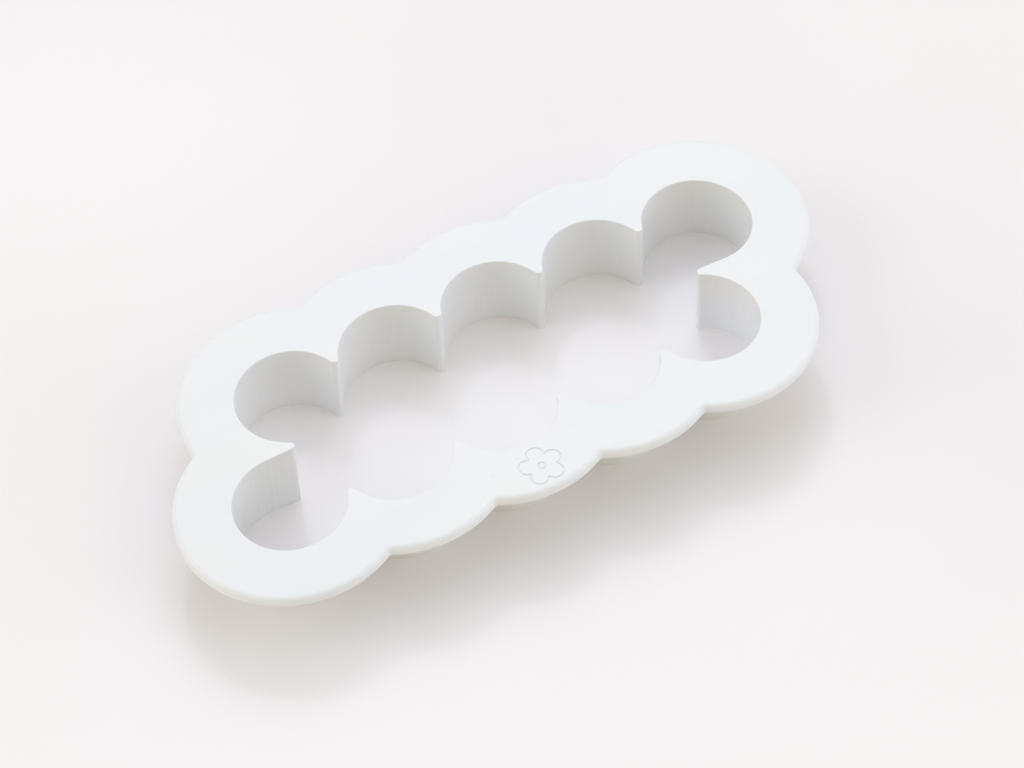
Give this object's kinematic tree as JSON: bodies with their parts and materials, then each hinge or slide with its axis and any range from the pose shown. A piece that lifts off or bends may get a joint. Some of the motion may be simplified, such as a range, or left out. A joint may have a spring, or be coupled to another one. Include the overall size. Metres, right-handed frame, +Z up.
{
  "type": "rose cutter",
  "caption": "Scalloped cutter for strips of petals: a wide thin flange on an upright cutting wall that follows staggered rows of joined round lobes.",
  "frame": {"origin": "centre of the part in the plane of the cutting wall's foot", "axes": "+X along the rows of lobes, +Y from the front row to the back row, +Z up, from the foot to the flange"},
  "size_m": [0.1246, 0.0574, 0.0147],
  "materials": {
    "white_plastic": "fine satin moulded surface"
  },
  "bodies": {
    "root": {"cutter_body": "white_plastic"}
  },
  "joints": []
}
